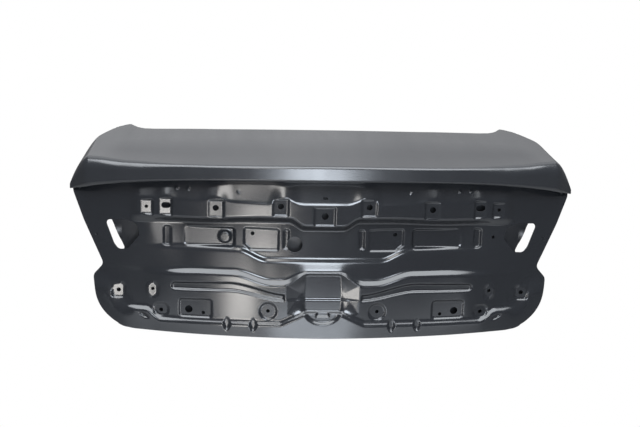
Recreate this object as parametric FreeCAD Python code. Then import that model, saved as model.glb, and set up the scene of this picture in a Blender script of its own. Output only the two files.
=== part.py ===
import FreeCAD, Part
import os
from math import atan2, cos, degrees, hypot, pi, radians, sin, sqrt, tan
from FreeCAD import Vector

# Car trunk lid: X to the right seen from behind the car, Y forward, Z up, millimetres.
# It is drawn in a working frame and moved at the end, so that the origin is the
# centre of the four hinge bolts on the inner panel.

# overall form
HALF_WIDTH = 635.0        # centre to the tip of the lip
BOW = 95.0                # the rear face lies this much further forward at the tips
SHEET = 1.0               # outer panels, measured along the press stroke
INNER_SHEET = 0.8
SEAM = 0.2                # left between sheets that lie on each other
DECK_Z = 131.0            # height of the deck above the middle of the rear face
DECK_FRONT_Y = 400.0
BOTTOM_Z = -321.5

# hinge pads and the bolt pattern that carries the lid
HINGE_Y = 330.0
HINGE_Z = 95.0
HINGE_SPACING_X = 900.0
HINGE_SPACING_Y = 50.0
HINGE_HOLE_R = 4.5

# latch bolts in the rear wall of the inner panel
LATCH_Z = -237.0
LATCH_SPACING_X = 108.0
LATCH_SPACING_Z = 30.0
LATCH_HOLE_R = 3.5

# holes of the lamp strip for the trim between the lamps, on pads of this half width
TRIM_HOLES = ((109.4, 18.5), (269.0, 9.8))
TRIM_HOLE_R = 7.5
TRIM_PAD_HALF = 19.5
PAD_SINK = 3.0

# lip
CREASE_Z = 123.0
CREASE_OUT = 30.0         # crease stands out behind the rear face line
LIP_LOW_Z = 83.4
LIP_LOW_OUT = 5.0
LIP_TIP_DROP = 41.4
SEAM_FLANGE = 31.0        # width of the flange that turns forward under the lip
SEAM_RISE = 5.0

# levels of the rear face, behind (+) or outside (-) the plan line
LEDGE_OUT = 8.0
STRIP_OUT = -13.0
MID_OUT = 6.0
BAND_OUT = -2.0
FIELD_OUT = -15.0
FLANGE_OUT = -21.0
BAY_OUT = -4.0            # floor of the latch bay

# inner panel
INNER_DEPTH = 46.0        # rear wall of the inner panel behind the plan line
FRONT_RIM_Y = 384.0
FLAT_HALF = 80.0          # the inner rear wall is straight this far from the centre
SIDE_RIM = 16.0
SIDE_SLOPE = 32.0

WALL_DRAFT = 0.55         # sideways run of a drafted wall for each mm of depth

STATIONS = [0, 24, 45, 66, 86, 104, 122, 140, 158, 176, 196, 216, 236, 252, 269, 286, 302, 322, 345,
            366, 380, 393, 408, 425, 444, 460, 474, 488, 506, 524, 540, 556, 574, 590, 604, 618, 630, 636]
UPPER_STATIONS = [0, 80, 160, 240, 320, 400, 450, 500, 540, 565, 585, 595, 604, 612, 620, 628, 636]
INNER_STATIONS = [0, 80, 160, 240, 320, 400, 450, 490, 510, 530, 545, 558, 570, 582, 594, 606, 618, 630, 636]


def ramp(v, a, b):
    t = min(max((v - a) / (b - a), 0.0), 1.0)
    return t * t * (3.0 - 2.0 * t)


def bump(v, centre, half):
    t = abs(v - centre) / half
    return 0.0 if t >= 1.0 else cos(t * pi / 2.0) ** 2


def mix(a, b, w):
    return a + (b - a) * w


def bow(x):
    return BOW * (x / HALF_WIDTH) ** 2


def mirrored(shape):
    return shape.mirror(Vector(0, 0, 0), Vector(1, 0, 0))


def both(shapes):
    return list(shapes) + [mirrored(s) for s in shapes]


def stations(half=None):
    half = half or STATIONS
    return [-x for x in reversed(half[1:])] + list(half)


# lines and outlines

def offset_points(points, d, closed):
    """Corners moved d to the left of the way the points run."""
    n = len(points)
    out = []
    for i, (u, v) in enumerate(points):
        before = points[i - 1] if closed or i > 0 else None
        after = points[(i + 1) % n] if closed or i < n - 1 else None
        normals = []
        for a, b in ((before, (u, v)), ((u, v), after)):
            if a is not None and b is not None:
                run = hypot(b[0] - a[0], b[1] - a[1])
                normals.append((-(b[1] - a[1]) / run, (b[0] - a[0]) / run))
        mu = sum(m[0] for m in normals) / len(normals)
        mv = sum(m[1] for m in normals) / len(normals)
        k = d / (mu * mu + mv * mv)
        out.append((u + k * mu, v + k * mv))
    return out


def toward(p, q, d):
    run = hypot(q[0] - p[0], q[1] - p[1])
    return (p[0] + (q[0] - p[0]) * d / run, p[1] + (q[1] - p[1]) * d / run)


def eased(points, reach, x):
    """Edges of an open section at station x; every corner is eased over its reach."""
    def at(p):
        return Vector(x, p[0], p[1])
    edges = []
    last = points[0]
    for i in range(1, len(points) - 1):
        if reach[i] <= 0:
            edges.append(Part.makeLine(at(last), at(points[i])))
            last = points[i]
            continue
        a, p, b = points[i - 1], points[i], points[i + 1]
        room = 0.45 * min(hypot(p[0] - a[0], p[1] - a[1]), hypot(p[0] - b[0], p[1] - b[1]))
        d = min(reach[i], room)
        s, e = toward(p, a, d), toward(p, b, d)
        curve = Part.BezierCurve()
        curve.setPoles([at(s), at(p), at(e)])
        edges.append(Part.makeLine(at(last), at(s)))
        edges.append(curve.toShape())
        last = e
    edges.append(Part.makeLine(at(last), at(points[-1])))
    return edges


def sheet_section(points, reach, x, thick):
    """Closed section of a sheet whose seen side runs through the points."""
    other = offset_points(points, thick, False)
    first = eased(points, reach, x)
    second = eased(list(reversed(other)), list(reversed(reach)), x)
    def at(p):
        return Vector(x, p[0], p[1])
    joins = [Part.makeLine(at(points[-1]), at(other[-1])), Part.makeLine(at(other[0]), at(points[0]))]
    return Part.Wire(first + joins[:1] + second + joins[1:])


def rounded(points, radius, y):
    """Closed outline in a plane y = constant with arcs at the corners."""
    radii = radius if isinstance(radius, (list, tuple)) else [radius] * len(points)
    n = len(points)
    ends = []
    for i, p in enumerate(points):
        a, b = points[i - 1], points[(i + 1) % n]
        ta = atan2(a[1] - p[1], a[0] - p[0])
        tb = atan2(b[1] - p[1], b[0] - p[0])
        half = abs((tb - ta + pi) % (2 * pi) - pi) / 2.0
        room = 0.48 * min(hypot(p[0] - a[0], p[1] - a[1]), hypot(p[0] - b[0], p[1] - b[1]))
        d = min(radii[i] / tan(half), room)
        r = d * tan(half)
        s, e = toward(p, a, d), toward(p, b, d)
        mid_way = toward(p, ((s[0] + e[0]) / 2, (s[1] + e[1]) / 2), r / sin(half) - r)
        ends.append((s, mid_way, e))
    edges = []
    for i, (s, m, e) in enumerate(ends):
        edges.append(Part.Arc(*[Vector(q[0], y, q[1]) for q in (s, m, e)]).toShape())
        nxt = ends[(i + 1) % n][0]
        edges.append(Part.makeLine(Vector(e[0], y, e[1]), Vector(nxt[0], y, nxt[1])))
    return Part.Wire(edges)


def turns_left(points):
    n = len(points)
    area = sum(points[i][0] * points[(i + 1) % n][1] - points[(i + 1) % n][0] * points[i][1] for i in range(n))
    return area > 0


def grown(points, d):
    return offset_points(points, -d if turns_left(points) else d, True)


def drafted(points, radius, y_edge, y_floor, reach=30.0):
    """Drafted block that opens rearward; its outline is the given one at y_edge."""
    depth = y_floor - y_edge
    floor = rounded(grown(points, -WALL_DRAFT * depth), radius, y_floor)
    mouth = rounded(grown(points, WALL_DRAFT * reach), radius, y_edge - reach)
    return Part.makeLoft([mouth, floor], True, True)


def box_points(x0, x1, z0, z1):
    return [(x0, z0), (x1, z0), (x1, z1), (x0, z1)]


def prism(points, radius, y0, y1):
    return Part.Face(rounded(points, radius, y0)).extrude(Vector(0, y1 - y0, 0))


def bore_y(x, z, r):
    return Part.makeCylinder(r, 700, Vector(x, -300, z), Vector(0, 1, 0))


def bore_z(x, y, r, z0, z1):
    return Part.makeCylinder(r, z1 - z0, Vector(x, y, z0), Vector(0, 0, 1))


def turned(shape, x):
    """Turned about the vertical at x, so that it follows the plan line there."""
    angle = degrees(atan2(2 * BOW * x / HALF_WIDTH ** 2, 1.0))
    return shape.rotate(Vector(x, bow(x), 0), Vector(0, 0, 1), angle)


# lines of the lip and the deck

def lip_low(x):
    return LIP_LOW_Z - LIP_TIP_DROP * (abs(x) / 620.0) ** 3.1


def shoulder(x):
    return 75.0 * (max(abs(x) - 585.0, 0.0) / 50.0) ** 1.7


def crease_z(x):
    z = CREASE_Z - 6.5 * ramp(abs(x), 0, 430) + 4.0 * ramp(abs(x), 495, 560) - shoulder(x)
    return max(z, lip_low(x) + 2.5)


def crease_out(x):
    return CREASE_OUT * (1.0 - 0.85 * ramp(abs(x), 585, 640))


def crown(x):
    return 9.0 * (x / 600.0) ** 2


def seam_z(x, out):
    """Height of the seam flange under the lip at a distance behind the plan line."""
    return lip_low(x) + SEAM_RISE * (out + LIP_LOW_OUT) / SEAM_FLANGE


def upper_points(x):
    zc, zl = crease_z(x), lip_low(x)
    h = zc - zl
    b = bow(x)
    back = crease_out(x)
    low = LIP_LOW_OUT * back / CREASE_OUT
    end = SEAM_FLANGE - LIP_LOW_OUT
    return [(490.0, DECK_Z - 1.0 - 0.5 * crown(x) - shoulder(x)),
            (215.0, DECK_Z + 0.5 - crown(x) - shoulder(x)),
            (b + 52.0, mix(zc, DECK_Z - crown(x) - shoulder(x), 0.25)),
            (b - back, zc),
            (b - back - 1.0 * back / CREASE_OUT, zc - 0.30 * h),
            (b - 0.62 * back, zl + 0.20 * h),
            (b - low, zl),
            (b + end, zl + SEAM_RISE)]


UPPER_REACH = [0, 90, 40, 5, 9, 10, 2.5, 0]


def plan_half(y):
    """Half width of the deck at y, between its horns and the tips of the lip."""
    return 607.5 - 0.00454 * max(y - 170.0, 0.0) ** 1.71 + 32.0 * (1.0 - ramp(y, 80, 160))


def deck_plan(inset=0.0):
    """Deck outline seen from above, as a face in the XY plane."""
    front = DECK_FRONT_Y - inset
    side = [(plan_half(y) - inset, y) for y in (455, 420, 370, 310, 250, 205, 170, 140, 115, 96)]
    def at(p, sx):
        return Vector(sx * p[0], p[1], 0)
    def half(sx):
        flat, root, neck, horn = [(u, front + v) for u, v in ((452.0, 0), (476.0, 0), (488.0, 10), (496.0, 22))]
        peak, tip = (508.0, front + 46.0), (518.0, front + 57.0)
        bend, knee, round_off = Part.BezierCurve(), Part.BezierCurve(), Part.BezierCurve()
        bend.setPoles([at(p, sx) for p in (flat, root, neck, horn)])
        knee.setPoles([at(p, sx) for p in (horn, peak, tip)])
        round_off.setPoles([at(tip, sx), at((526.0, front + 66.0), sx), at(side[0], sx)])
        edge = Part.BSplineCurve()
        edge.interpolate([at(p, sx) for p in side])
        return [bend.toShape(), knee.toShape(), round_off.toShape(), edge.toShape()]
    right, left = half(1), half(-1)
    far = [(side[-1][0], 96.0), (660.0, 80.0), (660.0, -80.0)]
    tail = [Part.makeLine(at(far[i], 1), at(far[i + 1], 1)) for i in range(2)]
    tail.append(Part.makeLine(at(far[2], 1), at(far[2], -1)))
    tail += [Part.makeLine(at(far[i + 1], -1), at(far[i], -1)) for i in (1, 0)]
    middle = Part.makeLine(at((452.0, front), -1), at((452.0, front), 1))
    return Part.Face(Part.Wire(Part.__sortEdges__([middle] + right + tail + left)))


def upper_outer_panel():
    sections = [sheet_section(upper_points(x), UPPER_REACH, x, -SHEET) for x in stations(UPPER_STATIONS)]
    skin = Part.makeLoft(sections, True, True)
    cutter = deck_plan().extrude(Vector(0, 0, 400))
    cutter.translate(Vector(0, 0, -100))
    return skin.common(cutter)


# lines of the stamped rear face

def strip_top(x):
    a = abs(x)
    return 25.0 + 3.0 * ramp(a, 130, 260) + 14.0 * bump(a, 100, 46) + 10.0 * bump(a, 269, 44) + 6.0 * bump(a, 390, 34)


def strip_bottom(x):
    a = abs(x)
    return -31.0 + 20.0 * ramp(a, 48, 88) - 7.5 * ramp(a, 150, 330) - 2.0 * ramp(a, 400, 440)


def step_one(x):
    return -122.0 + 26.0 * ramp(abs(x), 140, 215)


def step_two(x):
    a = abs(x)
    return -149.0 - 24.0 * ramp(a, 40, 104) * (1.0 - ramp(a, 130, 225)) - 4.0 * ramp(a, 300, 400)


def groove_top(x):
    a = abs(x)
    return -180.0 - 28.0 * (1.0 - ramp(a, 90, 235)) - 0.04 * max(a - 235.0, 0.0)


def groove_low(x):
    a = abs(x)
    return -203.0 - 22.0 * (1.0 - ramp(a, 95, 235)) - 0.02 * max(a - 235.0, 0.0)


def flange_line(x):
    a = abs(x)
    centre = 30.0 * (1.0 - min(max((a - 45.0) / 60.0, 0.0), 1.0))
    return -284.0 + centre + 25.0 * ramp(a, 405, 445) + 62.0 * ramp(a, 500, 548)


def wing(z):
    return -5.0 - 0.02 * (40.0 - z)


def lower_points(x):
    """Section of the rear face from the seam flange down to the bottom edge."""
    a = abs(x)
    strip = 1.0 - ramp(a, 458, 486)
    mid = 1.0 - ramp(a, 396, 468)
    st, sb = strip_top(x), strip_bottom(x)
    r1, r2, fl = step_one(x), step_two(x), flange_line(x)
    low_field = min(r2 - 11.0, fl + 8.0)
    b = bow(x)
    seam_end = SEAM_FLANGE - LIP_LOW_OUT - 3.0
    profile = [(seam_end, seam_z(x, seam_end) - SEAM), (LEDGE_OUT, seam_z(x, LEDGE_OUT) - SEAM),
               (mix(wing(st), STRIP_OUT, strip), st),
               (mix(wing(sb), STRIP_OUT, strip), sb),
               (mix(wing(sb - 14), MID_OUT, mid), sb - 14.0),
               (mix(wing(r1), MID_OUT, mid), r1 + 3.0),
               (mix(wing(r1), BAND_OUT, mid), r1 - 4.0),
               (mix(wing(r2), BAND_OUT, mid), r2),
               (mix(wing(r2), FIELD_OUT, mid), r2 - 11.0),
               (mix(wing(fl), FIELD_OUT, mid), fl + 5.0),
               (FLANGE_OUT, fl - 4.0),
               (FLANGE_OUT + 2.0, BOTTOM_Z - 30.0)]
    return [(b + out, z) for out, z in profile]


LOWER_REACH = [0, 0, 5, 5, 0, 0, 0, 4, 4, 0, 4, 0]


def lower_die():
    """Solid block whose rear side is the plain form of the rear face."""
    wires = []
    for x in stations():
        points = lower_points(x)
        edges = eased(points, LOWER_REACH, x)
        top, low = points[0], points[-1]
        corners = [low, (170.0, low[1]), (170.0, top[1]), top]
        for p, q in zip(corners[:-1], corners[1:]):
            edges.append(Part.makeLine(Vector(x, *p), Vector(x, *q)))
        wires.append(Part.Wire(edges))
    return Part.makeLoft(wires, True, True)


def lower_outline(inset=0.0):
    """Outline of the rear face seen from behind."""
    side = [(690, 220), (634, 50), (601, -42), (552, -152), (579, -183), (569, -262), (508, -314), (325, -318),
            (0, BOTTOM_Z)]
    radii = [1, 30, 250, 16, 16, 60, 50, 400, 2000]
    points = side + [(-x, z) for x, z in reversed(side[:-1])]
    return grown(points, -inset) if inset else points, radii + list(reversed(radii[:-1]))


def groove_tool():
    """Long stamped bead with a rounded outer end."""
    start, end = 96.0, 381.0
    wires = []
    n = 16
    for i in range(n + 1):
        x = start + (end - start) * (1 - (1 - i / n) ** 1.6)
        top, low = groove_top(x), groove_low(x)
        r = (top - low) / 2
        left = end - x
        half = r if left > r else max(sqrt(max(r * r - (r - left) ** 2, 0.0)), 0.8)
        c, b = (top + low) / 2, bow(x)
        floor = max(half - 5.0, 0.3)
        points = [(b - 40, c + half + 18), (b + FIELD_OUT + 6, c + floor), (b + FIELD_OUT + 6, c - floor),
                  (b - 40, c - half - 18)]
        wires.append(Part.makePolygon([Vector(x, *p) for p in points + points[:1]]))
    return Part.makeLoft(wires, True, True)


def lamp_pads():
    """Flat pads that the lamps sit on, square to the length of the car."""
    pads = []
    spans = [(x - TRIM_PAD_HALF, x + TRIM_PAD_HALF, z - 25, z + 20) for x, z in TRIM_HOLES]
    for x0, x1, z0, z1 in spans + [(377, 408, -15, 30), (425, 458, -15, 23)]:
        edge = bow((x0 + x1) / 2) + STRIP_OUT
        pads.append(drafted(box_points(x0, x1, z0, z1), 4, edge, edge + PAD_SINK))
    pads = both(pads)
    pads.append(drafted(box_points(-45, 45, -27, 20), 5, STRIP_OUT, STRIP_OUT + PAD_SINK))
    return pads


def field_recesses():
    """Recesses that follow the plan line, given by outline, level and depth."""
    plates = [([(223, -47), (347, -45), (347, -92), (223, -92)], 8, MID_OUT, 4.5),
              ([(112, -44), (200, -42), (200, -84), (182, -100), (112, -100)], 6, MID_OUT, 3.5),
              ([(380, -44), (400, -44), (400, -95), (380, -95)], 8, MID_OUT - 2, 3.5),
              ([(277, -226), (361, -228), (361, -276), (277, -276)], 9, FIELD_OUT, 4.0),
              ([(387, -249), (425, -249), (425, -272), (387, -272)], 14, FIELD_OUT - 1, 3.0),
              ([(413, -194), (441, -194), (438, -226), (416, -226)], 12, FIELD_OUT + 1, 3.0),
              ([(497, -199), (531, -199), (531, -236), (497, -236)], 11, FIELD_OUT, 3.0)]
    tools = []
    for points, radius, level, depth in plates:
        xc = sum(p[0] for p in points) / len(points)
        edge = bow(xc) + level
        tools.append(turned(drafted(points, radius, edge, edge + depth), xc))
    grooves = [drafted(box_points(87, 101, -94, -44), 5, bow(94) + MID_OUT, bow(94) + MID_OUT + 3.5)]
    return both(tools + grooves)


def centre_recesses():
    mouth = [(-105, -173), (-50, -147), (50, -147), (105, -173), (105, -283), (48, -256), (-48, -256), (-105, -283)]
    floor = [(-45, -162), (-40, -158), (40, -158), (45, -162), (45, -250), (40, -253), (-40, -253), (-45, -250)]
    bay = Part.makeLoft([rounded(mouth, 4, FIELD_OUT - 0.5), rounded(floor, 4, BAY_OUT)], True, True)
    dish = [(-48, -267), (48, -267), (28, -294), (-28, -294)]
    pocket = box_points(-19, 19, -274, -259)
    return [bay, drafted(dish, 7, FLANGE_OUT, FLANGE_OUT + 7.0), drafted(pocket, 4, FLANGE_OUT + 7.0, FLANGE_OUT + 14.0)]


def round_pad(x, z, r, level, depth):
    edge = bow(x) + level
    base = Vector(x, edge - 30, z)
    return Part.makeCone(r + 30 * WALL_DRAFT, r - depth * WALL_DRAFT, 30 + depth, base, Vector(0, 1, 0))


def lens_wire(x, z, width, height, y):
    top, low = Vector(x, y, z + height / 2), Vector(x, y, z - height / 2)
    right, left = Vector(x + width / 2, y, z), Vector(x - width / 2, y, z)
    return Part.Wire([Part.Arc(top, right, low).toShape(), Part.Arc(low, left, top).toShape()])


def lens(x, z, width, height, y_edge, depth, angle):
    """Drafted block with a lens outline, upright before it is turned by the angle."""
    grow, sink = 2 * WALL_DRAFT * 30.0, 2 * WALL_DRAFT * depth
    mouth = lens_wire(x, z, width + grow, height + grow, y_edge - 30.0)
    floor = lens_wire(x, z, width - sink, height - sink, y_edge + depth)
    return Part.makeLoft([mouth, floor], True, True).rotate(Vector(x, y_edge, z), Vector(0, 1, 0), angle)


LOUVER_DEPTH = 7.0
LOUVERS = ((240.0, -286.0, 20.0, 38.0, 0.0), (174.0, -286.5, 20.0, 38.0, 0.0), (449.0, -277.0, 11.0, 30.0, 60.0))


def louvers():
    tools = []
    for x, z, width, height, angle in LOUVERS:
        tools.append(lens(x, z, width, height, bow(x) + FLANGE_OUT, LOUVER_DEPTH * width / 20.0, angle))
    return both(tools)


def rear_holes():
    """Through holes of the rear face, cut along Y."""
    tools = [bore_y(x, z, TRIM_HOLE_R) for x, z in TRIM_HOLES]
    for x, z, r in ((441, 4.5, 4.5), (178, -57, 5.0), (336, -256, 9.5),
                    (299.5, -263.4, 4.5), (137, -252, 4.5), (406, -262, 5.0), (427, -208, 4.5), (514, -217.5, 5.5),
                    (569, -78, 4.0)):
        tools.append(bore_y(x, z, r))
    tools.append(prism(box_points(380.5, 403.5, 3.3, 18.3), 7.2, -300, 400))
    opening = [(546, -37), (524, -97), (513, -111), (490, -109), (459, -71), (466, -43), (490, -34)]
    tools.append(prism(opening, [9, 20, 12, 12, 12, 12, 30], -300, 400))
    tools = both(tools)
    tools.append(bore_y(0, -4.7, 8.5))
    tools.append(prism(box_points(-6.5, 6.5, 37.5, 42.5), 2.4, -300, 400))
    tools.append(bore_y(-73, -82, 19.5))
    tools.append(bore_y(431, -67, 4.0))
    return tools


def lower_outer_panel():
    die = lower_die()
    sinks = lamp_pads() + field_recesses() + centre_recesses() + louvers() + both([groove_tool()])
    sinks += both([round_pad(137, -252, 22, FIELD_OUT, 3.0)])
    ring_x = -247.0
    ring = Part.makeCone(19, 15, 7, Vector(ring_x, bow(ring_x) + MID_OUT + 5, -68), Vector(0, -1, 0))
    die = die.cut(sinks).fuse(ring)
    points, radii = lower_outline()
    die = die.common(prism(points, radii, -200, 400))
    die = die.cut(rear_holes())
    return pressed(die, Vector(0, SHEET, 0))


def pressed(die, stroke):
    """Sheet pressed over the die: its faces that look against the stroke, made thick."""
    way = Vector(stroke)
    way.normalize()
    seen = []
    for face in die.Faces:
        u0, u1, v0, v1 = face.ParameterRange
        if face.normalAt((u0 + u1) / 2, (v0 + v1) / 2).dot(way) < -0.01:
            seen.append(face)
    slab = Part.makeShell(seen).extrude(stroke)
    single = {}
    for solid in slab.Solids:
        for face in solid.Faces:
            alike = single.setdefault(face.hashCode(), [])
            twins = [f for f in alike if f.isSame(face)]
            if twins:
                alike.remove(twins[0])
            else:
                alike.append(face)
    skin = [face for alike in single.values() for face in alike]
    body = Part.makeSolid(Part.makeShell(skin))
    if body.Volume < 0:
        body.reverse()
    return body


# inner panel

def inner_bow(x):
    return BOW * (max(abs(x) - FLAT_HALF, 0.0) / (HALF_WIDTH - FLAT_HALF)) ** 2


def rear_half(z):
    """Half width of the rear face at height z."""
    return 556.0 + 46.0 * ramp(z, -135, -20) + 32.0 * ramp(z, -30, 70) + 16.0 * ramp(-z, 150, 190) - 40.0 * ramp(-z, 215, 320)


def inner_points(x):
    """Section of the inner panel, its inside face, from the front rim to the bottom rim."""
    a = abs(x)
    b = bow(x)
    def deck(y):
        up = DECK_Z - SHEET - 1.4 - 0.9 * crown(x) - shoulder(x)
        w = ramp(plan_half(y) - a, SIDE_RIM, SIDE_RIM + SIDE_SLOPE)
        return (y, mix(up - INNER_SHEET, HINGE_Z, w))
    def rear(z):
        skin = b + wing(z) + SHEET + SEAM + INNER_SHEET
        w = ramp(rear_half(z) - a, SIDE_RIM, SIDE_RIM + SIDE_SLOPE)
        return (mix(skin, inner_bow(x) + INNER_DEPTH, w), z)
    rim = DECK_Z - SHEET - 1.4 - INNER_SHEET - 0.6 * crown(x) - shoulder(x)
    foot = b + FLANGE_OUT + SHEET + SEAM + INNER_SHEET
    return ([(488.0, rim), (FRONT_RIM_Y, rim)] + [deck(y) for y in (372.0, 300.0, 220.0, 150.0)]
            + [(rear(60.0)[0] + 14.0, deck(110.0)[1])]
            + [rear(z) for z in (60.0, 0.0, -60.0, -120.0, -180.0, -240.0, -284.0)]
            + [(foot + 0.3, -306.0), (foot + 1.2, BOTTOM_Z - 12.0)])


INNER_REACH = [0, 0, 6, 0, 0, 0, 26, 0, 0, 0, 0, 0, 0, 6, 0, 0]


def deck_prism(points, radius, z0, z1):
    """Upright prism over an outline given in x and y."""
    flat = Part.Face(rounded(points, radius, 0))
    flat = flat.mirror(Vector(0, 0, 0), Vector(0, 1, -1))
    flat.translate(Vector(0, 0, z0))
    return flat.extrude(Vector(0, 0, z1 - z0))


def inner_openings():
    """Lightening and access openings: in the deck part, then in the rear wall."""
    tools = []
    for points, r in ((box_points(30, 148, 214, 322), 24), (box_points(172, 290, 214, 322), 24),
                      ([(314, 322), (386, 322), (386, 262), (346, 214), (314, 214)], 18),
                      ([(402, 250), (508, 244), (500, 206), (386, 206)], 12)):
        tools.append(deck_prism(points, r, HINGE_Z - 35, HINGE_Z + 20))
    for points, r in ((box_points(60, 178, 16, 58), 16), (box_points(206, 324, 12, 56), 16),
                      (box_points(350, 440, 8, 52), 16), ([(96, -112), (210, -112), (192, -205), (96, -205)], 22),
                      ([(236, -112), (350, -112), (330, -210), (218, -208)], 22),
                      ([(376, -112), (444, -112), (444, -215), (356, -212)], 20),
                      ([(541, -36), (571, -36), (541, -128), (499, -128)], 8)):
        tools.append(prism(points, r, 20, 200))
    return both(tools) + [latch_mouth()]


def inner_panel():
    sections = [sheet_section(inner_points(x), INNER_REACH, x, -INNER_SHEET) for x in stations(INNER_STATIONS)]
    body = Part.makeLoft(sections, True, True)
    plan = deck_plan(1.5).extrude(Vector(0, 0, 600))
    plan.translate(Vector(0, 0, -400))
    points, radii = lower_outline(1.5)
    body = body.common([plan])
    rear = prism(points, radii, -200, 600)
    return body.common([rear]).cut(inner_openings() + hinge_bores() + latch_bores())


# hinge and latch reinforcements

def hinge_sites():
    return [(sx * HINGE_SPACING_X / 2, HINGE_Y + sy * HINGE_SPACING_Y / 2) for sx in (-1, 1) for sy in (-1, 1)]


def hinge_bores():
    return [bore_z(x, y, HINGE_HOLE_R, HINGE_Z - 10, HINGE_Z + 20) for x, y in hinge_sites()]


def latch_sites():
    return [(sx * LATCH_SPACING_X / 2, LATCH_Z + sz * LATCH_SPACING_Z / 2) for sx in (-1, 1) for sz in (-1, 1)]


def latch_bores():
    return [bore_y(x, z, LATCH_HOLE_R) for x, z in latch_sites()]


def latch_mouth():
    """Opening of the rear wall that the latch works through."""
    w, h = LATCH_SPACING_X / 2 - 20, LATCH_SPACING_Z / 2 + 10
    return prism(box_points(-w, w, LATCH_Z - h, LATCH_Z + h), 10, 20, 200)


def nut(across, height, bore):
    """Weld nut standing on the XY plane."""
    r = across / sqrt(3)
    hexagon = Part.makePolygon([Vector(r * cos(k * pi / 3), r * sin(k * pi / 3), 0) for k in range(7)])
    body = Part.Face(hexagon).extrude(Vector(0, 0, height))
    collar = Part.makeCylinder(across / 2 + 1.5, 1.2)
    return body.fuse(collar).cut(Part.makeCylinder(bore, height)).removeSplitter()


PLATE = 2.0
HINGE_PLATE_Z = HINGE_Z + INNER_SHEET + 0.05


def hinge_reinforcement(side):
    x = side * HINGE_SPACING_X / 2
    plate = Part.makeBox(96, 92, PLATE, Vector(x - 48, HINGE_Y - 52, HINGE_PLATE_Z))
    plate = plate.makeFillet(10, [e for e in plate.Edges if abs(e.Vertexes[0].Z - e.Vertexes[-1].Z) > 1])
    lip_front = Part.makeBox(76, PLATE, 14, Vector(x - 38, HINGE_Y - 52, HINGE_PLATE_Z))
    body = plate.fuse(lip_front)
    return body.cut([bore_z(hx, hy, HINGE_HOLE_R, HINGE_Z, HINGE_Z + 30) for hx, hy in hinge_sites()])


def hinge_weld_nuts():
    body = nut(13.0, 8.0, 4.0)
    return Part.makeCompound([body.translated(Vector(x, y, HINGE_PLATE_Z + PLATE)) for x, y in hinge_sites()])


def latch_reinforcement():
    y = INNER_DEPTH - INNER_SHEET - 0.05
    w, h = LATCH_SPACING_X / 2 + 18, LATCH_SPACING_Z / 2 + 20
    outline = [(-w, LATCH_Z - h), (w, LATCH_Z - h), (w, LATCH_Z + h - 12), (w / 2, LATCH_Z + h + 14),
               (-w / 2, LATCH_Z + h + 14), (-w, LATCH_Z + h - 12)]
    return prism(outline, 12, y - PLATE, y).cut([latch_mouth()] + latch_bores())


def latch_weld_nuts():
    y = INNER_DEPTH - INNER_SHEET - 0.05 - PLATE
    body = nut(10.0, 6.5, 3.0)
    body.rotate(Vector(0, 0, 0), Vector(1, 0, 0), 90)
    return Part.makeCompound([body.translated(Vector(x, y, z)) for x, z in latch_sites()])


# cross member under the lip, and the anti-flutter pads

CROSS_HALF = 430.0
CROSS_BACK = 118.0         # middle of the cross member behind the inner plan line


def cross_points(x):
    b = inner_bow(x)
    z = HINGE_Z + INNER_SHEET + 0.1
    top = 112.0 - 0.6 * crown(x)
    c = b + CROSS_BACK
    return [(c + 32, z), (c + 17, z), (c + 11, top), (c - 11, top), (c - 17, z), (c - 32, z)]


def lip_reinforcement():
    xs = [CROSS_HALF * k / 10 for k in range(-10, 11)]
    return Part.makeLoft([sheet_section(cross_points(x), [0, 3, 4, 4, 3, 0], x, -1.0) for x in xs], True, True)


def skin_underside(skin, x, y):
    cut = skin.common(Part.makeCylinder(9, 200, Vector(x, y, 60), Vector(0, 0, 1)))
    return cut.BoundBox.ZMin


def mastic_pads(skin):
    pads = []
    for x in (-360, -240, -120, 0, 120, 240, 360):
        y = inner_bow(x) + CROSS_BACK
        z = 112.0 - 0.6 * crown(x) + 1.1
        pads.append(bore_z(x, y, 8, z, skin_underside(skin, x, y) - SEAM))
    return Part.makeCompound(pads)


def place(shape):
    moved = shape.copy()
    moved.translate(Vector(0, -HINGE_Y, -HINGE_Z))
    return moved


def main():
    os.makedirs("parts", exist_ok=True)
    skin = upper_outer_panel()
    nodes = {
        "upper_outer_panel": skin,
        "lower_outer_panel": lower_outer_panel(),
        "inner_panel": inner_panel(),
        "hinge_reinforcement_left": hinge_reinforcement(-1),
        "hinge_reinforcement_right": hinge_reinforcement(1),
        "hinge_weld_nuts": hinge_weld_nuts(),
        "latch_reinforcement": latch_reinforcement(),
        "latch_weld_nuts": latch_weld_nuts(),
        "lip_reinforcement": lip_reinforcement(),
        "mastic_pads": mastic_pads(skin),
    }
    for name, shape in nodes.items():
        place(shape).exportStep("parts/" + name + ".step")
        print(name, shape.ShapeType, shape.isValid(), len(shape.Solids), round(shape.Volume),
              len(shape.tessellate(0.3)[1]))


main()
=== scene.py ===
import math

import bmesh
import bpy
import numpy as np
from mathutils import Matrix, Vector


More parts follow.
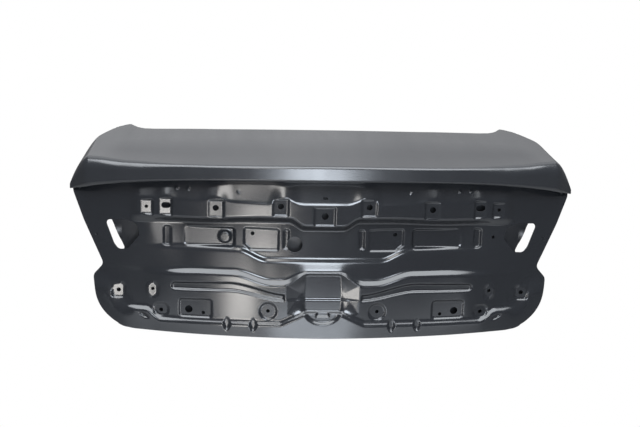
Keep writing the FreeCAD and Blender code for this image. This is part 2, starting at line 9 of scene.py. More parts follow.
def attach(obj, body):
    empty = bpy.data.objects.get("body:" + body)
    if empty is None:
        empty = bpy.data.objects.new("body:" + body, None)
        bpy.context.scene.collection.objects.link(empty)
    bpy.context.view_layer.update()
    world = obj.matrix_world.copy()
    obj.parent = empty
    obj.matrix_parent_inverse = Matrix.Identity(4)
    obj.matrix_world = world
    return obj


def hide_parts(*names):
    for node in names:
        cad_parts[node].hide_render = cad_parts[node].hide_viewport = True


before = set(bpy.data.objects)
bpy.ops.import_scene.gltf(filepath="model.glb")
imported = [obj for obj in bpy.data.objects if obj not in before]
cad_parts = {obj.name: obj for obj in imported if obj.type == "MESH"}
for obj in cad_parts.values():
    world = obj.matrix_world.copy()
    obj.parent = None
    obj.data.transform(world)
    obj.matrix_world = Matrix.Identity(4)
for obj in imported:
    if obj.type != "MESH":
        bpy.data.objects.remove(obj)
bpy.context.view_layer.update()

# The working frame of the CAD source in millimetres; the origin is moved to the hinge bolts.
HINGE_Y, HINGE_Z = 330.0, 95.0
HALF_WIDTH, BOW = 635.0, 95.0
SHEET, REAR_SHEET, SEAM = 1.0, 0.9, 0.2
DECK_Z, DECK_FRONT_Y, BOTTOM_Z = 131.0, 400.0, -321.5
CREASE_Z, CREASE_OUT, LIP_LOW_Z, LIP_LOW_OUT, LIP_TIP_DROP = 123.0, 30.0, 83.4, 5.0, 41.4
SEAM_FLANGE, SEAM_RISE = 31.0, 5.0
SEAM_END = SEAM_FLANGE - LIP_LOW_OUT - 3.0
SEAM_HALF = 604.0  # the flange under the lip ends here

# Levels of the rear face, as distance forward of the plan line. The middle zone and the band lean.
LEDGE_OUT, STRIP_OUT, MID_OUT, BAND_OUT = 8.0, -13.0, 6.0, -2.0
FIELD_OUT, FLANGE_OUT, BAY_OUT = -15.0, -21.0, -4.0
MID_TOP, MID_LOW = MID_OUT + 2.0, MID_OUT - 2.5
BAND_TOP, BAND_LOW = BAND_OUT + 1.0, BAND_OUT - 2.5

PAD_SINK, PRESS_SHARE = 3.0, 0.35
DRAFT, BOWL_DRAFT = 0.55, 1.1
SOFT, CORNER_SOFT, LAST_SOFT = 2.4, 12.0, 1.1
INNER_END = 0.612  # in metres: the rim of the inner panel would show past the tips of the lip


def ramp(v, a, b):
    t = np.clip((v - a) / (b - a), 0.0, 1.0)
    return t * t * (3.0 - 2.0 * t)


def bump(v, centre, half):
    t = np.abs(v - centre) / half
    return np.where(t >= 1.0, 0.0, np.cos(np.clip(t, 0, 1) * np.pi / 2) ** 2)


def mix(a, b, w):
    return a + (b - a) * w


def bow(x):
    return BOW * (x / HALF_WIDTH) ** 2


# lines of the lip and the deck, over the width x in millimetres

def lip_low(x):
    a = np.abs(x)
    return LIP_LOW_Z - LIP_TIP_DROP * (a / 620.0) ** 3.1 - 3.5 * ramp(a, 555, 636)


def shoulder(x):
    return 75.0 * (np.maximum(np.abs(x) - 585.0, 0.0) / 50.0) ** 1.7


def crease_z(x):
    a = np.abs(x)
    z = CREASE_Z - 6.5 * ramp(a, 0, 430) + 4.0 * ramp(a, 495, 560) - shoulder(x)
    return np.maximum(z, lip_low(x) + 2.5)


def crease_out(x):
    return CREASE_OUT * (1.0 - 0.85 * ramp(np.abs(x), 585, 640))


def crown(x):
    return 9.0 * (x / 600.0) ** 2


def seam_z(x, out):
    return lip_low(x) + SEAM_RISE * (out + LIP_LOW_OUT) / SEAM_FLANGE


def plan_half(y):
    return 607.5 - 0.00454 * np.maximum(y - 170.0, 0.0) ** 1.71 + 32.0 * (1.0 - ramp(y, 80, 160))


# lines of the stamped rear face

def strip_top(x):
    a = np.abs(x)
    return 25.0 + 3.0 * ramp(a, 130, 260) + 14.0 * bump(a, 100, 46) + 10.0 * bump(a, 269, 44) + 6.0 * bump(a, 390, 34)


def strip_bottom(x):
    a = np.abs(x)
    return -31.0 + 20.0 * ramp(a, 48, 88) - 7.5 * ramp(a, 150, 330) - 2.0 * ramp(a, 400, 440)


def step_one(x):
    return -122.0 + 26.0 * ramp(np.abs(x), 140, 215)


def step_two(x):
    a = np.abs(x)
    return -149.0 - 24.0 * ramp(a, 40, 104) * (1.0 - ramp(a, 130, 225)) - 4.0 * ramp(a, 300, 400)


def groove_top(x):
    a = np.abs(x)
    return -180.0 - 28.0 * (1.0 - ramp(a, 90, 235)) - 0.04 * np.maximum(a - 235.0, 0.0)


def groove_low(x):
    a = np.abs(x)
    return -203.0 - 22.0 * (1.0 - ramp(a, 95, 235)) - 0.02 * np.maximum(a - 235.0, 0.0)


def flange_line(x):
    a = np.abs(x)
    centre = 30.0 * (1.0 - np.clip((a - 45.0) / 60.0, 0.0, 1.0))
    return -284.0 + centre + 25.0 * ramp(a, 405, 445) + 62.0 * ramp(a, 500, 548)


def wing(z):
    return -5.0 - 0.02 * (40.0 - z)


# signed distances in a plane, negative inside

def polygon_sdf(px, pz, points, radius=0.0):
    """Distance to a polygon whose corners are rounded by the radius."""
    pts = np.array(points, float)
    area = np.sum(pts[:, 0] * np.roll(pts[:, 1], -1) - np.roll(pts[:, 0], -1) * pts[:, 1])
    if area < 0:
        pts = pts[::-1]
    if radius > 0:
        nxt, prv = np.roll(pts, -1, 0), np.roll(pts, 1, 0)
        def normal(a, b):
            d = b - a
            d = d / np.linalg.norm(d, axis=1)[:, None]
            return np.stack([-d[:, 1], d[:, 0]], 1)
        n1, n2 = normal(prv, pts), normal(pts, nxt)
        m = n1 + n2
        pts = pts + radius * m / np.maximum(np.sum(m * n1, 1), 0.3)[:, None]
    dist = np.full(np.shape(px), 1e9)
    inside = np.zeros(np.shape(px), bool)
    for i in range(len(pts)):
        a, b = pts[i], pts[(i + 1) % len(pts)]
        e = b - a
        wx, wz = px - a[0], pz - a[1]
        t = np.clip((wx * e[0] + wz * e[1]) / max(e @ e, 1e-9), 0, 1)
        dist = np.minimum(dist, np.hypot(wx - e[0] * t, wz - e[1] * t))
        cross = (a[1] > pz) != (b[1] > pz)
        with np.errstate(divide="ignore", invalid="ignore"):
            at = a[0] + (pz - a[1]) * e[0] / e[1]
        inside ^= cross & (px < at)
    return np.where(inside, -dist, dist) - radius


def circle_sdf(px, pz, x, z, r):
    return np.hypot(px - x, pz - z) - r


def lens_sdf(px, pz, x, z, width, height, angle=0.0):
    c, s = math.cos(math.radians(angle)), math.sin(math.radians(angle))
    u, v = (px - x) * c - (pz - z) * s, (px - x) * s + (pz - z) * c
    r = (width ** 2 / 4 + height ** 2 / 4) / width
    off = r - width / 2
    return np.maximum(np.hypot(u - off, v), np.hypot(u + off, v)) - r


def box(x0, x1, z0, z1):
    return [(x0, z0), (x1, z0), (x1, z1), (x0, z1)]


def middle(points):
    return sum(p[0] for p in points) / len(points)


# the rear face as a height field, in steps of one millimetre

X0, X1, Z0, Z1 = -640, 640, -326, 96
STEP = 1.0


def lower_profile(x):
    """Levels of the rear face at x: pairs of distance forward of the plan line and height."""
    a = np.abs(x)
    strip = 1.0 - ramp(a, 458, 486)
    mid = 1.0 - ramp(a, 335, 465)
    st, sb = strip_top(x), strip_bottom(x)
    r1, r2, fl = step_one(x), step_two(x), flange_line(x)
    return [(SEAM_END + 0 * x, seam_z(x, SEAM_END) - SEAM),
            (LEDGE_OUT + 0 * x, seam_z(x, LEDGE_OUT) - SEAM),
            (mix(wing(st), STRIP_OUT, strip), st),
            (mix(wing(sb), STRIP_OUT, strip), sb),
            (mix(wing(sb - 14), MID_TOP, mid), sb - 14.0),
            (mix(wing(r1), MID_LOW, mid), r1 + 3.0),
            (mix(wing(r1), BAND_TOP, mid), r1 - 4.0),
            (mix(wing(r2), BAND_LOW, mid), r2),
            (mix(wing(r2), FIELD_OUT, mid), r2 - 11.0),
            (mix(wing(fl), FIELD_OUT, mid), fl + 4.0),
            (FLANGE_OUT + 0 * x, fl - 3.0),
            (FLANGE_OUT + 2.0 + 0 * x, BOTTOM_Z - 30.0 + 0 * x)]


def smoothed(field, sigma):
    """Field after a Gaussian blur of sigma grid steps."""
    n = int(math.ceil(sigma * 3))
    k = np.exp(-0.5 * (np.arange(-n, n + 1) / sigma) ** 2)
    k /= k.sum()
    out = field
    for axis in (0, 1):
        pad = [(n, n) if i == axis else (0, 0) for i in (0, 1)]
        wide = np.pad(out, pad, mode="edge")
        acc = np.zeros_like(field)
        for i, w in enumerate(k):
            part = wide[i:i + field.shape[0], :] if axis == 0 else wide[:, i:i + field.shape[1]]
            acc += w * part
        out = acc
    return out


# Forms of the rear face for x > 0, mirrored for x < 0: outline, corner radius, level, depth.
PLATES = [([(112, -44), (200, -42), (200, -84), (182, -100), (112, -100)], 6, MID_OUT, 3.5),
          ([(380, -44), (400, -44), (400, -95), (380, -95)], 8, MID_OUT - 4, 4.0),
          (box(87, 101, -94, -44), 5, MID_OUT, 3.5),
          ([(277, -226), (361, -228), (361, -276), (277, -276)], 9, FIELD_OUT, 4.0),
          ([(387, -249), (425, -249), (425, -272), (387, -272)], 14, FIELD_OUT - 1, 3.0)]
SQUARE_PLATE, SQUARE_RADIUS, SQUARE_DEPTH = [(223, -45), (347, -45), (347, -92), (223, -92)], 8, 4.5
SQUARE_SHARE = 0.5  # how far the square plate is flattened against the plan line
PAD_EDGE = 3.0
# outline and corner radius
CORNER_PADS = [([(416, -192), (441, -194), (438, -226), (416, -228)], 11),
               ([(500, -201), (529, -201), (529, -235), (500, -235)], 6)]
CORNER_PAD_OUT = -11.0
# x and z of the sides
LAMP_PADS = [(89.9, 128.9, -6.5, 38.5), (249.5, 288.5, -15.2, 29.8), (377, 408, -15, 30), (425, 458, -15, 23)]
CENTRE_PAD = (-27, 26, -30, 19)
# centre, width, height, angle
LOUVERS = [(240, -286, 20, 38, 0), (174, -286.5, 20, 38, 0), (449, -277, 11, 30, 60)]
LOUVER_DEPTH = 7.0 / 20.0  # by width
LEDGE_NUBS, NUB_RADIUS, NUB_HEIGHT = [(213, 50), (338, 52), (366, 53)], 3.5, 2.0
ROUND_PAD, ROUND_PAD_SINK = (137, -252, 22), 3.0
BEAD_START, BEAD_END, BEAD_SINK = 96.0, 381.0, 6.0
BAY_MOUTH = [(-105, -173), (-50, -147), (50, -147), (105, -173),
             (105, -283), (48, -256), (-48, -256), (-105, -283)]
BAY_FLOOR = [(-45, -162), (-40, -158), (40, -158), (45, -162),
             (45, -250), (40, -253), (-40, -253), (-45, -250)]
BAY_RADIUS, BAY_RIB = 4, 2.5
BOWL_HALF_WIDTH, BOWL_HEIGHT, BOWL_Z, BOWL_TOP, BOWL_SINK = 49.0, 36.0, -249.0, -251.0, 6.0
BOWL_POCKET = (-17, 17, -266, -252)
RING_BOSS, RING_HEIGHT = (-247, -68, 16), 6.0


def rear_height():
    """Grid lines and the height field of the rear face with all its forms."""
    xs = np.arange(X0, X1 + STEP, STEP)
    zs = np.arange(Z0, Z1 + STEP, STEP)
    gx, gz = np.meshgrid(xs, zs, indexing="ij")
    levels = lower_profile(xs)
    out = np.full(gx.shape, FLANGE_OUT)
    for (o1, z1), (o0, z0) in zip(levels[:-1], levels[1:]):
        t = (gz - z0[:, None]) / np.maximum(z1 - z0, 0.1)[:, None]
        here = (t >= 0) & (t <= 1)
        out = np.where(here, mix(o0[:, None], o1[:, None], t), out)
    over = gz > levels[0][1][:, None]
    out = np.where(over, levels[0][0][:, None], out)
    corner = ramp(np.abs(gx), 470, 505) * ramp(-gz, 150, 175)
    out = mix(smoothed(out, SOFT), smoothed(out, CORNER_SOFT), corner)
    plain = out
    plan = bow(gx)

    def sink(sdf, edge, depth, draft=DRAFT):
        """Recess with drafted walls: edge is the level at its outline."""
        nonlocal out
        out = np.maximum(out, np.minimum(edge + depth, edge - sdf / draft))

    def press(sdf, level, depth):
        """Recess whose floor lies between the surface around it and a level."""
        nonlocal out
        ground = mix(plain + depth, level + depth, PRESS_SHARE)
        out = np.maximum(out, np.minimum(ground, plain - sdf / DRAFT))

    def lift(sdf, edge, height):
        """Raised form with drafted walls."""
        nonlocal out
        out = np.minimum(out, np.maximum(edge - height, edge + sdf / DRAFT))

    for sx in (1, -1):
        ax = gx * sx
        for points, radius, level, depth in PLATES:
            press(polygon_sdf(ax, gz, points, radius), level, depth)
        xc = middle(SQUARE_PLATE)
        flat = (mix(plain + SQUARE_DEPTH, MID_OUT + SQUARE_DEPTH, PRESS_SHARE)
                + SQUARE_SHARE * 2 * BOW * xc / HALF_WIDTH ** 2 * (xc - ax))
        sdf = polygon_sdf(ax, gz, SQUARE_PLATE, SQUARE_RADIUS)
        out = mix(out, flat, np.clip(0.5 - sdf / PAD_EDGE, 0.0, 1.0))
        sink(circle_sdf(ax, gz, *ROUND_PAD), FIELD_OUT, ROUND_PAD_SINK)
        for points, radius in CORNER_PADS:
            flat = bow(middle(points)) + CORNER_PAD_OUT - plan
            out = mix(out, flat, 1.0 - ramp(polygon_sdf(ax, gz, points, radius), -2.0, 5.0))
        for x0, x1, z0, z1 in LAMP_PADS:
            edge = bow((x0 + x1) / 2) + STRIP_OUT - plan
            sink(polygon_sdf(ax, gz, box(x0, x1, z0, z1), 4), edge, PAD_SINK)
        for x, z, w, h, angle in LOUVERS:
            sink(lens_sdf(ax, gz, x, z, w, h, angle), FLANGE_OUT, LOUVER_DEPTH * w)
        for x, z in LEDGE_NUBS:
            lift(circle_sdf(ax, gz, x, z, NUB_RADIUS), mix(LEDGE_OUT, STRIP_OUT, 0.55), NUB_HEIGHT)
        top, low = groove_top(gx), groove_low(gx)
        half = (top - low) / 2
        side = np.abs(gz - (top + low) / 2) - half
        end = BEAD_END - half
        past = np.hypot(np.maximum(ax - end, 0), gz - (top + low) / 2) - half
        sink(np.maximum(np.where(ax > end, past, side), BEAD_START - ax), FIELD_OUT, BEAD_SINK)
    sink(polygon_sdf(gx, gz, box(*CENTRE_PAD), 3), STRIP_OUT - plan, PAD_SINK)
    to_mouth = np.maximum(-polygon_sdf(gx, gz, BAY_MOUTH, BAY_RADIUS), 0.0)
    to_floor = np.maximum(polygon_sdf(gx, gz, BAY_FLOOR, BAY_RADIUS), 0.0)
    down = to_mouth / np.maximum(to_mouth + to_floor, 0.01)
    rib = -BAY_RIB * ramp(-gz, 219, 224)
    bay = mix(FIELD_OUT - 0.5, BAY_OUT + rib, down) - plan
    out = np.where(to_mouth > 0, np.maximum(out, bay), out)
    radial = np.hypot(gx / BOWL_HALF_WIDTH, (gz - BOWL_Z) / BOWL_HEIGHT)
    bowl = np.maximum(radial * BOWL_HEIGHT - BOWL_HEIGHT, gz - BOWL_TOP)
    sink(bowl, FLANGE_OUT - plan, BOWL_SINK, BOWL_DRAFT)
    sink(polygon_sdf(gx, gz, box(*BOWL_POCKET), 3), FLANGE_OUT + BOWL_SINK - plan, BOWL_SINK)
    lift(circle_sdf(gx, gz, *RING_BOSS), MID_OUT + SQUARE_DEPTH, RING_HEIGHT)
    return xs, zs, smoothed(out + plan, LAST_SOFT)


class Field:
    """Height field that is read at any point."""

    def __init__(self, xs, zs, values):
        self.x0, self.z0, self.values = xs[0], zs[0], values

    def __call__(self, x, z):
        v = self.values
        i = np.clip((x - self.x0) / STEP, 0, v.shape[0] - 1.001)
        j = np.clip((z - self.z0) / STEP, 0, v.shape[1] - 1.001)
        i0, j0 = i.astype(int), j.astype(int)
        u, w = i - i0, j - j0
        return ((v[i0, j0] * (1 - u) + v[i0 + 1, j0] * u) * (1 - w)
                + (v[i0, j0 + 1] * (1 - u) + v[i0 + 1, j0 + 1] * u) * w)


# outline of the rear face for x > 0, with the radii of its corners
SIDE = [(690, 220), (634, 50), (601, -42), (552, -152), (579, -183), (569, -262), (508, -314), (325, -318),
        (0, BOTTOM_Z)]
SIDE_RADII = [1, 30, 250, 16, 16, 99, 107, 400, 2000]


def rounded_outline(points, radii, n=10):
    """Outline points with arcs at the corners."""
    out = []
    count = len(points)
    for i, p in enumerate(points):
        p, a, b = np.array(p, float), np.array(points[i - 1], float), np.array(points[(i + 1) % count], float)
        da, db = a - p, b - p
        la, lb = np.linalg.norm(da), np.linalg.norm(db)
        half = math.acos(np.clip((da @ db) / (la * lb), -1, 1)) / 2
        d = min(radii[i] / math.tan(half), 0.48 * min(la, lb)) if half < math.pi / 2 - 1e-4 else 0.01
        s, e = p + da / la * d, p + db / lb * d
        for k in range(n + 1):
            t = k / n
            w = math.cos(math.pi / 2 - half)
            q = ((1 - t) ** 2 * s + 2 * w * t * (1 - t) * p + t * t * e) / ((1 - t) ** 2 + 2 * w * t * (1 - t) + t * t)
            out.append(tuple(q))
    return out


LOWER_OUTLINE = rounded_outline(SIDE + [(-x, z) for x, z in reversed(SIDE[:-1])],
                                SIDE_RADII + list(reversed(SIDE_RADII[:-1])))


# holes: x, z and radius, on both sides and on one side or in the middle
PAIRED_HOLES = [(441, 4.5, 4.5), (269, 9.8, 7.5), (109.4, 18.5, 7.5), (178, -57, 5.0), (336, -256, 9.5),
                (299.5, -263.4, 4.5), (137, -252, 4.5), (406, -262, 5.0), (427, -208, 4.5),
                (514, -217.5, 5.5), (569, -78, 4.0)]
SINGLE_HOLES = [(0, -4.7, 8.5), (-73, -82, 19.5), (431, -67, 4.0)]
OBROUND, OBROUND_RADIUS = (380.5, 403.5, 3.3, 18.3), 7.2
SLOT, SLOT_RADIUS = (-6.5, 6.5, 37.5, 42.5), 2.4
OPENING = rounded_outline([(546, -37), (524, -97), (513, -111), (490, -109), (459, -71), (466, -43), (490, -34)],
                          [9, 20, 12, 12, 12, 12, 30], 6)


def rear_holes_sdf(x, z):
    parts = [circle_sdf(x, z, *hole) for hole in SINGLE_HOLES]
    parts.append(polygon_sdf(x, z, box(*SLOT), SLOT_RADIUS))
    for ax in (x, -x):
        parts += [circle_sdf(ax, z, *hole) for hole in PAIRED_HOLES]
        parts.append(polygon_sdf(ax, z, box(*OBROUND), OBROUND_RADIUS))
        parts.append(polygon_sdf(ax, z, OPENING))
    return np.minimum.reduce(parts)


def lower_sdf(x, z):
    top = z - (seam_z(x, SEAM_END) - SEAM)
    return np.maximum(np.maximum(polygon_sdf(x, z, LOWER_OUTLINE), -rear_holes_sdf(x, z)), top)


# sheets as meshes

def sheet_mesh(name, place, sdf, us, vs, thick, normal_step=(0.4, 0.4)):
    """Closed sheet over a grid: place(u, v) gives points, sdf(u, v) is negative where there is metal."""
    gu, gv = np.meshgrid(us, vs, indexing="ij")
    d = sdf(gu, gv)
    nu, nv = gu.shape
    index = np.arange(nu * nv).reshape(nu, nv)
    a, b, c, e = index[:-1, :-1], index[1:, :-1], index[1:, 1:], index[:-1, 1:]
    flat = d.ravel()
    quads = np.stack([a, b, c, e], -1).reshape(-1, 4)
    keep = flat[quads] < 0
    whole = keep.all(1)
    some = keep.any(1) & ~whole
    u, v = list(gu.ravel()), list(gv.ravel())
    faces = [tuple(q) for q in quads[whole]]
    cut = {}

    def between(p, q):
        key = (p, q) if p < q else (q, p)
        if key not in cut:
            t = flat[key[0]] / (flat[key[0]] - flat[key[1]])
            cut[key] = len(u)
            u.append(u[key[0]] + (u[key[1]] - u[key[0]]) * t)
            v.append(v[key[0]] + (v[key[1]] - v[key[0]]) * t)
        return cut[key]

    for quad in quads[some]:
        loop = []
        for k in range(4):
            p, q = int(quad[k]), int(quad[(k + 1) % 4])
            if flat[p] < 0:
                loop.append(p)
            if (flat[p] < 0) != (flat[q] < 0):
                loop.append(between(p, q))
        if len(loop) > 2:
            faces.append(tuple(loop))
    used = np.unique(np.concatenate([np.array(f) for f in faces]))
    remap = np.full(len(u), -1)
    remap[used] = np.arange(len(used))
    u, v = np.array(u)[used], np.array(v)[used]
    du, dv = normal_step
    p = place(u, v)
    pu = place(u + du, v) - place(u - du, v)
    pv = place(u, v + dv) - place(u, v - dv)
    n = np.cross(pu, pv)
    n /= np.maximum(np.linalg.norm(n, axis=1), 1e-12)[:, None]
    faces = [tuple(int(remap[i]) for i in f) for f in faces]
    edges = {}
    for f in faces:
        for i in range(len(f)):
            edges[(f[i], f[(i + 1) % len(f)])] = True
    rim = [(i, j) for i, j in edges if (j, i) not in edges]
    count = len(p)
    back = p - n * thick
    verts = np.concatenate([p, back])
    normals = np.concatenate([n, -n])
    faces_all = list(faces) + [tuple(i + count for i in reversed(f)) for f in faces]
    rim_verts, rim_normals = [], []
    total = 2 * count
    for i, j in rim:
        edge = verts[j] - verts[i]
        out = np.cross(edge, n[i])
        out /= max(np.linalg.norm(out), 1e-12)
        rim_verts += [verts[i], verts[j], back[j], back[i]]
        rim_normals += [out] * 4
        faces_all.append((total, total + 3, total + 2, total + 1))
        total += 4
    verts = np.concatenate([verts, np.array(rim_verts)])
    normals = np.concatenate([normals, np.array(rim_normals)])
    return new_mesh(name, verts, faces_all, normals)


def new_mesh(name, verts, faces, normals):
    """Object in the row frame from points of the working frame."""
    moved = (np.array(verts, float) - np.array([0.0, HINGE_Y, HINGE_Z])) / 1000.0
    mesh = bpy.data.meshes.new(name)
    mesh.from_pydata([tuple(q) for q in moved], [], faces)
    mesh.update()
    mesh.polygons.foreach_set("use_smooth", [True] * len(mesh.polygons))
    mesh.normals_split_custom_set_from_vertices([tuple(q) for q in normals])
    return new_object(name, mesh)


def new_object(name, data):
    obj = bpy.data.objects.new(name, data)
    bpy.context.scene.collection.objects.link(obj)
    return obj


def eased_place(profile, reach):
    """Point on a profile at (x, t): corner i is eased over its reach, t runs 0..segments."""
    n = len(reach)
    kinds = []
    for i in range(1, n - 1):
        kinds.append(("line", i - 1, i))
        if callable(reach[i]) or reach[i] > 0:
            kinds.append(("curve", i))
    kinds.append(("line", n - 2, n - 1))

    def place(x, t):
        pts = [np.stack([np.broadcast_to(q, np.shape(x)) for q in p], -1) for p in profile(x)]
        ends = {}
        for i in range(1, n - 1):
            if not callable(reach[i]) and reach[i] <= 0:
                ends[i] = (pts[i], pts[i])
                continue
            da, db = pts[i - 1] - pts[i], pts[i + 1] - pts[i]
            la, lb = np.linalg.norm(da, axis=-1), np.linalg.norm(db, axis=-1)
            wanted = reach[i](x) if callable(reach[i]) else reach[i]
            r = np.minimum(wanted, 0.45 * np.minimum(la, lb))
            ends[i] = (pts[i] + da * (r / la)[..., None], pts[i] + db * (r / lb)[..., None])
        out = np.zeros(np.shape(x) + (2,))
        for k, kind in enumerate(kinds):
            last = k == len(kinds) - 1
            here = ((t >= k) | (k == 0)) & ((t < k + 1) | last)
            w = (t - k)[..., None]
            if kind[0] == "line":
                a = pts[0] if kind[1] == 0 else ends[kind[1]][1]
                b = pts[n - 1] if kind[2] == n - 1 else ends[kind[2]][0]
                q = a + (b - a) * w
            else:
                a, b = ends[kind[1]]
                q = (1 - w) ** 2 * a + 2 * w * (1 - w) * pts[kind[1]] + w * w * b
            out = np.where(here[..., None], q, out)
        return np.stack([x, out[..., 0], out[..., 1]], -1)

    return place, kinds


# the upper outer panel

def upper_profile(x):
    """Corners of the section at x, from the front of the deck round the lip to the seam flange."""
    zc, zl = crease_z(x), lip_low(x)
    h, b, back = zc - zl, bow(x), crease_out(x)
    low = LIP_LOW_OUT * back / CREASE_OUT
    sh = shoulder(x)
    return [(490.0, DECK_Z + 0.4 - 0.1 * crown(x) - sh),
            (215.0, DECK_Z + 0.5 - crown(x) - sh),
            (b + 52.0, mix(zc, DECK_Z - crown(x) - sh, 0.25)),
            (b - 0.85 * back, zc),
            (b - 1.03 * back, zl + 0.13 * h),
            (b - 0.82 * back, zl + 0.02 * h),
            (b - low, zl),
            (b + SEAM_FLANGE - LIP_LOW_OUT, zl + SEAM_RISE)]


UPPER_REACH = [0, 90, 40, lambda x: 7.0 + 30.0 * ramp(np.abs(x), 330, 600), 6, 3, 2.5, 0]


def bezier(p, n=8):
    out = []
    for k in range(n):
        t = k / n
        q = [np.array(a, float) for a in p]
        while len(q) > 1:
            q = [q[i] * (1 - t) + q[i + 1] * t for i in range(len(q) - 1)]
        out.append(tuple(q[0]))
    return out


def deck_outline():
    """Outline from above, with a horn at each front corner."""
    f = DECK_FRONT_Y
    start = float(plan_half(np.array(420.0)))
    half = bezier([(452, f), (476, f), (488, f + 10), (496, f + 22)])
    half += bezier([(496, f + 22), (506, f + 42), (517, f + 60)])
    half += bezier([(517, f + 60), (530, f + 52), (start, 420)])
    half += [(float(plan_half(np.array(float(y)))), y) for y in range(420, 114, -6)]
    half += [(631, 104), (634.5, 90), (636.5, 80), (660, 60), (660, -80)]
    return half + [(-x, y) for x, y in reversed(half)]


def steps(counts):
    return np.array([0.0] + [k + (i + 1) / n for k, n in enumerate(counts) for i in range(n)])


def x_steps(limit, step, fine_from=560.0, fine=2.0):
    """Steps over the width, finer near the tips."""
    half = np.concatenate([np.arange(0, fine_from, step), np.arange(fine_from, limit, fine), [limit]])
    return np.concatenate([-half[:0:-1], half])


def make_upper():
    place, kinds = eased_place(upper_profile, UPPER_REACH)
    outline = deck_outline()

    def sdf(u, t):
        p = place(u, t)
        flange = np.where(t > len(kinds) - 1.5, np.abs(u) - SEAM_HALF, -1.0)
        return np.maximum(polygon_sdf(p[..., 0], p[..., 1], outline), flange)

    counts = [40 if i == 0 else 12 for i in range(len(kinds))]
    counts[2] = 22
    return sheet_mesh("upper_skin", place, sdf, x_steps(636, 6.0), steps(counts), SHEET, (0.4, 0.01))


# the lower outer panel, in bands so that each stays light

def make_lower():
    field = Field(*rear_height())
    bands = [(-324.0, -236.0), (-236.0, -148.0), (-148.0, -36.0), (-36.0, 92.0)]
    us = np.arange(-638.0, 638.1, 2.0)

    def place(u, v):
        return np.stack([u, field(u, v), v], -1)

    out = []
    for i, (z0, z1) in enumerate(bands):
        vs = np.linspace(z0, z1, int((z1 - z0) / 1.9) + 1)
        out.append(sheet_mesh("rear_skin_%d" % (i + 1), place, lower_sdf, us, vs, REAR_SHEET, (1.3, 1.3)))
    return out


# the inner panel, as in the CAD but cut short where its rim would show past the tips of the lip

def make_inner():
    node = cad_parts["inner_panel"]
    mesh = node.data.copy()
    piece = new_object("inner_skin", mesh)
    piece.matrix_world = node.matrix_world.copy()
    shape = bmesh.new()
    shape.from_mesh(mesh)
    for side in (1, -1):
        cut = bmesh.ops.bisect_plane(shape, geom=shape.verts[:] + shape.edges[:] + shape.faces[:],
                                     plane_co=(side * INNER_END, 0, 0), plane_no=(side, 0, 0), clear_outer=True)
        rim = [e for e in cut["geom_cut"] if isinstance(e, bmesh.types.BMEdge)]
        bmesh.ops.holes_fill(shape, edges=rim, sides=0)
    shape.to_mesh(mesh)
    shape.free()
    return piece


# materials

def coat(name, base, rough, mottle=0.0, streak=(1.0, 1.0, 1.0)):
    """Black electrocoat: a dark dielectric with slight unevenness."""
    mat = bpy.data.materials.new(name)
    mat.use_nodes = True
    tree = mat.node_tree
    shader = tree.nodes["Principled BSDF"]
    shader.inputs["Base Color"].default_value = (*base, 1.0)
    shader.inputs["Roughness"].default_value = rough
    if mottle > 0:
        coords = tree.nodes.new("ShaderNodeTexCoord")
        noise = tree.nodes.new("ShaderNodeTexNoise")
        noise.inputs["Scale"].default_value = 9.0
        noise.inputs["Detail"].default_value = 6.0
        mapping = tree.nodes.new("ShaderNodeMapping")
        mapping.inputs["Scale"].default_value = streak
        tree.links.new(coords.outputs["Object"], mapping.inputs["Vector"])
        tree.links.new(mapping.outputs["Vector"], noise.inputs["Vector"])
        span = tree.nodes.new("ShaderNodeMapRange")
        span.inputs["From Min"].default_value = 0.3
        span.inputs["From Max"].default_value = 0.7
        span.inputs["To Min"].default_value = rough * (1 - mottle)
        span.inputs["To Max"].default_value = rough * (1 + mottle)
        tree.links.new(noise.outputs["Fac"], span.inputs["Value"])
        tree.links.new(span.outputs["Result"], shader.inputs["Roughness"])
    return mat


deck_coat = coat("deck_coat", (0.012, 0.013, 0.015), 0.22, mottle=0.15, streak=(1.6, 0.25, 1.0))
rear_coat = coat("rear_coat", (0.010, 0.011, 0.013), 0.155, mottle=0.15)
inner_coat = coat("inner_coat", (0.02, 0.021, 0.024), 0.4)

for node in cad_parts.values():
    node.data.materials.clear()
    node.data.materials.append(inner_coat)

skins = [(make_upper(), deck_coat, "upper_outer_panel", "panel")]
skins += [(piece, rear_coat, "lower_outer_panel", "panel") for piece in make_lower()]
skins += [(make_inner(), inner_coat, "inner_panel", "inner")]
for piece, finish, node_name, slot in skins:
    piece.data.materials.clear()
    piece.data.materials.append(finish)
    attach(piece, "root")
    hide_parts(node_name)

# camera as fitted to the photograph

FOCAL_PX, IMAGE_PX, SENSOR_MM, DISTANCE = 1216.0, 640.0, 36.0, 3.0
YAW, PITCH, ROLL = math.radians(3.44), math.radians(14.7), math.radians(1.48)
TARGET = Vector((-0.0124, -HINGE_Y / 1000.0, -HINGE_Z / 1000.0))
forward = Vector((math.sin(YAW) * math.cos(PITCH), math.cos(YAW) * math.cos(PITCH), -math.sin(PITCH)))
right = Vector((math.cos(YAW), -math.sin(YAW), 0.0))
up = right.cross(forward)
right, up = math.cos(ROLL) * right + math.sin(ROLL) * up, -math.sin(ROLL) * right + math.cos(ROLL) * up
camera_data = bpy.data.cameras.new("camera")
camera_data.sensor_width = SENSOR_MM
camera_data.lens = FOCAL_PX / IMAGE_PX * SENSOR_MM
camera_data.clip_end = 50.0
camera = new_object("camera", camera_data)
camera.matrix_world = Matrix.Translation(TARGET - forward * DISTANCE) @ Matrix((
    (right.x, up.x, -forward.x), (right.y, up.y, -forward.y), (right.z, up.z, -forward.z))).to_4x4()
bpy.context.scene.camera = camera

# floor, world and lights: the camera sees the floor and the world white

FLOOR_HALF, FLOOR_Z = 6, -2.2


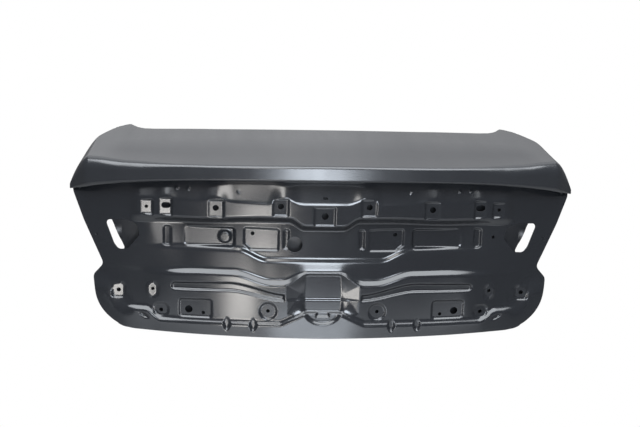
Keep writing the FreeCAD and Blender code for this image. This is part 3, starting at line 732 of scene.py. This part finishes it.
def white_to_camera(tree, shaded, plain, output):
    """Show the camera one shader and give light and reflections the other."""
    path = tree.nodes.new("ShaderNodeLightPath")
    blend = tree.nodes.new("ShaderNodeMixShader")
    tree.links.new(path.outputs["Is Camera Ray"], blend.inputs["Fac"])
    tree.links.new(shaded, blend.inputs[1])
    tree.links.new(plain, blend.inputs[2])
    tree.links.new(blend.outputs["Shader"], tree.nodes[output].inputs["Surface"])


floor_mesh = bpy.data.meshes.new("floor")
corners = [(-FLOOR_HALF, -FLOOR_HALF, 0), (FLOOR_HALF, -FLOOR_HALF, 0),
           (FLOOR_HALF, FLOOR_HALF, 0), (-FLOOR_HALF, FLOOR_HALF, 0)]
floor_mesh.from_pydata(corners, [], [(0, 1, 2, 3)])
floor = new_object("floor", floor_mesh)
floor.location = (0, 0, FLOOR_Z)
white = bpy.data.materials.new("floor_white")
white.use_nodes = True
tree = white.node_tree
tree.nodes["Principled BSDF"].inputs["Base Color"].default_value = (0.5, 0.5, 0.5, 1)
tree.nodes["Principled BSDF"].inputs["Roughness"].default_value = 0.9
glow = tree.nodes.new("ShaderNodeEmission")
glow.inputs["Color"].default_value = (1, 1, 1, 1)
glow.inputs["Strength"].default_value = 1.0
white_to_camera(tree, tree.nodes["Principled BSDF"].outputs["BSDF"], glow.outputs["Emission"], "Material Output")
floor_mesh.materials.append(white)

world = bpy.data.worlds.new("world")
bpy.context.scene.world = world
world.use_nodes = True
tree = world.node_tree
dim = tree.nodes["Background"]
dim.inputs["Color"].default_value = (0.34, 0.34, 0.35, 1)
dim.inputs["Strength"].default_value = 0.6
clean = tree.nodes.new("ShaderNodeBackground")
clean.inputs["Color"].default_value = (1, 1, 1, 1)
clean.inputs["Strength"].default_value = 1.0
white_to_camera(tree, dim.outputs["Background"], clean.outputs["Background"], "World Output")


def area_light(name, where, target, size, size_y, radiance, colour):
    """Rectangular light of an even radiance, facing its target."""
    data = bpy.data.lights.new(name, "AREA")
    data.shape = "RECTANGLE"
    data.size, data.size_y, data.color = size, size_y, colour
    data.energy = radiance * math.pi * size * size_y
    obj = new_object(name, data)
    obj.location = where
    obj.rotation_euler = (Vector(target) - Vector(where)).to_track_quat("-Z", "Y").to_euler()


# name, place, target, width, height, radiance, colour
LIGHTS = [
    ("far_wall", (-1.85, 5.0, 1.7), (-1.85, 0, 0.2), 5.1, 2.6, 0.55, (0.97, 0.98, 1.0)),
    ("far_wall_right", (2.8, 5.0, 1.7), (2.8, 0, 0.2), 4.2, 2.6, 0.44, (0.97, 0.98, 1.0)),
    ("front_window", (0.12, -4.2, 0.45), (0.05, 0, 0.0), 0.9, 1.5, 22.0, (0.84, 0.91, 1.0)),
    ("left_window", (-0.94, -3.9, -1.46), (-0.6, 0, -1.0), 0.42, 0.5, 17.0, (1.0, 0.97, 0.93)),
    ("pad_window", (-0.59, -3.9, -1.10), (-0.4, 0, -0.7), 0.52, 0.22, 20.0, (1.0, 0.97, 0.93)),
    ("plate_window", (-0.86, -3.9, -0.845), (-0.5, 0, -0.5), 0.80, 0.25, 5.0, (1.0, 0.98, 0.96)),
    ("ceiling", (0, -1.35, 2.4), (0, -0.9, 0), 4.0, 3.0, 9.0, (0.92, 0.96, 1.0)),
    ("left_skylight", (-0.72, -4.0, 2.3), (-0.2, 0, 0.0), 0.7, 0.9, 12.0, (1.0, 0.98, 0.95)),
    ("back_ceiling", (0, 1.5, 2.4), (0, 0.4, 0), 4.0, 2.6, 1.2, (0.95, 0.97, 1.0)),
    ("low_card_wide", (0.0, -4.1, -2.05), (0.0, 0, -0.5), 5.8, 0.5, 2.2, (0.88, 0.93, 1.0)),
    ("low_card", (0.05, -4.0, -1.90), (0.0, 0, -0.5), 1.1, 0.5, 7.5, (0.84, 0.91, 1.0)),
]
for light in LIGHTS:
    area_light(*light)

bpy.context.scene.view_settings.view_transform = "Standard"
